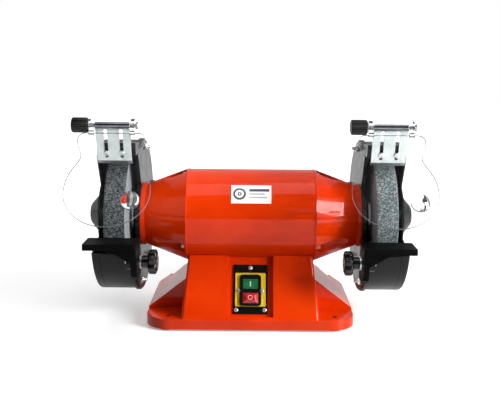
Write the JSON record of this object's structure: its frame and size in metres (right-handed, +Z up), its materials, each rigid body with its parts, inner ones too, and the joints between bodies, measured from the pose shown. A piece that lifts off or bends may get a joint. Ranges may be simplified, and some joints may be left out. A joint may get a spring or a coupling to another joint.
{
  "type": "bench grinder",
  "caption": "Bench grinder: wheel at each end of a shaft motor on a sloped cast base, with guards, clear eye shields, spark arrestors and sliding tool rests.",
  "frame": {"origin": "centre of the four bench bolt holes, on the bench", "axes": "+Z up, +X to the operator's right along the shaft, +Y away from the operator"},
  "size_m": [0.537, 0.3031, 0.326],
  "materials": {
    "orange_paint": "smooth gloss paint over a casting",
    "black_paint": "satin black paint",
    "zinc_plate": "dull zinc plate",
    "ground_steel": "turned steel",
    "bearing_steel": "polished bearing steel",
    "lamination_steel": "stacked laminations",
    "copper_enamel": "enamelled copper wire",
    "capacitor_can": "moulded can",
    "black_plastic": "moulded gloss black",
    "yellow_plastic": "moulded satin yellow",
    "green_plastic": "moulded green",
    "red_plastic": "moulded red",
    "badge_white": "printed label film",
    "coarse_grit": "coarse dark vitrified grit",
    "fine_grit": "fine grey vitrified grit",
    "blotter_card": "pressed card",
    "clear_sheet": "clear polycarbonate",
    "clear_lens": "clear moulded lens",
    "black_rubber": "soft rubber"
  },
  "bodies": {
    "frame": {"base_casting": "orange_paint", "bottom_cover": "zinc_plate", "rubber_feet": "black_rubber", "bottom_cover_screws": "zinc_plate", "motor_shell": "orange_paint", "stator_core": "lamination_steel", "stator_windings": "copper_enamel", "left_end_bell": "orange_paint", "right_end_bell": "orange_paint", "tie_bolts": "zinc_plate", "bearing_outer_rings": "bearing_steel", "saddle_bolts": "zinc_plate", "start_capacitor": "capacitor_can", "cable_gland": "black_plastic", "gland_nut": "black_plastic", "switch_plate": "black_paint", "switch_plate_screws": "zinc_plate", "switch_housing": "black_plastic", "switch_frame": "yellow_plastic", "switch_frame_screws": "zinc_plate", "badge_plate": "badge_white", "guard_cover_screws": "black_paint", "guard_cover_nuts": "zinc_plate", "guard_bolts": "zinc_plate", "arrestor_screws": "zinc_plate", "left_wheel_guard": "black_paint", "left_guard_cover": "black_paint", "right_wheel_guard": "black_paint", "right_guard_cover": "black_paint"},
    "rotor": {"rotor_shaft": "ground_steel", "rotor_core": "lamination_steel", "bearing_inner_rings": "bearing_steel", "wheel_blotters": "blotter_card", "left_wheel": "coarse_grit", "left_inner_flange": "ground_steel", "left_outer_flange": "ground_steel", "left_spindle_nut": "zinc_plate", "right_wheel": "fine_grit", "right_inner_flange": "ground_steel", "right_outer_flange": "ground_steel", "right_spindle_nut": "zinc_plate"},
    "ball_train": {"bearing_balls": "bearing_steel"},
    "start_key": {"start_button": "green_plastic"},
    "stop_key": {"stop_button": "red_plastic"},
    "left_arrestor": {"left_spark_arrestor": "zinc_plate", "left_shield_rod": "zinc_plate"},
    "left_shield": {"left_eye_shield": "clear_sheet", "left_shield_lens": "clear_lens"},
    "left_knob": {"left_shield_knob": "black_plastic"},
    "left_clamp": {"left_rest_washer": "zinc_plate"},
    "left_rest": {"left_tool_rest": "black_paint"},
    "left_rest_screw": {"left_rest_knob": "black_plastic"},
    "right_arrestor": {"right_spark_arrestor": "zinc_plate", "right_shield_rod": "zinc_plate"},
    "right_shield": {"right_eye_shield": "clear_sheet", "right_shield_lens": "clear_lens"},
    "right_knob": {"right_shield_knob": "black_plastic"},
    "right_clamp": {"right_rest_washer": "zinc_plate"},
    "right_rest": {"right_tool_rest": "black_paint"},
    "right_rest_screw": {"right_rest_knob": "black_plastic"}
  },
  "joints": [
    {"name": "rotor_spin", "type": "hinge", "parent": "frame", "child": "rotor", "pos_m": [0, 0, 0.163], "axis": [1, 0, 0], "continuous": true},
    {"name": "ball_orbit", "type": "hinge", "parent": "frame", "child": "ball_train", "pos_m": [0, 0, 0.163], "axis": [1, 0, 0], "continuous": true},
    {"name": "start_press", "type": "slide", "parent": "frame", "child": "start_key", "axis": [0, 0.8589, -0.5122], "range_m": [0, 0.0025], "stiffness_N_per_m": 1200, "springref_m": -0.001},
    {"name": "stop_press", "type": "slide", "parent": "frame", "child": "stop_key", "axis": [0, 0.8589, -0.5122], "range_m": [0, 0.0025], "stiffness_N_per_m": 1200, "springref_m": -0.001},
    {"name": "left_arrestor_slide", "type": "slide", "parent": "frame", "child": "left_arrestor", "axis": [0, -0.2756, 0.9613], "range_m": [-0.013, 0.005]},
    {"name": "left_shield_tilt", "type": "hinge", "parent": "left_arrestor", "child": "left_shield", "pos_m": [-0.206, -0.10029, 0.31443], "axis": [1, 0, 0], "range_deg": [-100, 15]},
    {"name": "left_shield_knob_turn", "type": "hinge", "parent": "left_arrestor", "child": "left_knob", "pos_m": [-0.206, -0.10029, 0.31443], "axis": [1, 0, 0], "continuous": true},
    {"name": "left_rest_tilt", "type": "hinge", "parent": "frame", "child": "left_clamp", "pos_m": [-0.165, -0.118, 0.113], "axis": [1, 0, 0], "range_deg": [-5, 12]},
    {"name": "left_rest_slide", "type": "slide", "parent": "left_clamp", "child": "left_rest", "axis": [0, 0.866, -0.5], "range_m": [-0.004, 0.016]},
    {"name": "left_rest_knob_turn", "type": "hinge", "parent": "frame", "child": "left_rest_screw", "pos_m": [-0.165, -0.118, 0.113], "axis": [1, 0, 0], "continuous": true},
    {"name": "right_arrestor_slide", "type": "slide", "parent": "frame", "child": "right_arrestor", "axis": [0, -0.2756, 0.9613], "range_m": [-0.013, 0.005]},
    {"name": "right_shield_tilt", "type": "hinge", "parent": "right_arrestor", "child": "right_shield", "pos_m": [0.206, -0.10029, 0.31443], "axis": [1, 0, 0], "range_deg": [-100, 15]},
    {"name": "right_shield_knob_turn", "type": "hinge", "parent": "right_arrestor", "child": "right_knob", "pos_m": [0.206, -0.10029, 0.31443], "axis": [1, 0, 0], "continuous": true},
    {"name": "right_rest_tilt", "type": "hinge", "parent": "frame", "child": "right_clamp", "pos_m": [0.165, -0.118, 0.113], "axis": [1, 0, 0], "range_deg": [-5, 12]},
    {"name": "right_rest_slide", "type": "slide", "parent": "right_clamp", "child": "right_rest", "axis": [0, 0.866, -0.5], "range_m": [-0.016, 0.004]},
    {"name": "right_rest_knob_turn", "type": "hinge", "parent": "frame", "child": "right_rest_screw", "pos_m": [0.165, -0.118, 0.113], "axis": [1, 0, 0], "continuous": true}
  ],
  "couplings": [
    {"joint": "ball_orbit", "follows": "rotor_spin", "ratio": 0.4}
  ]
}
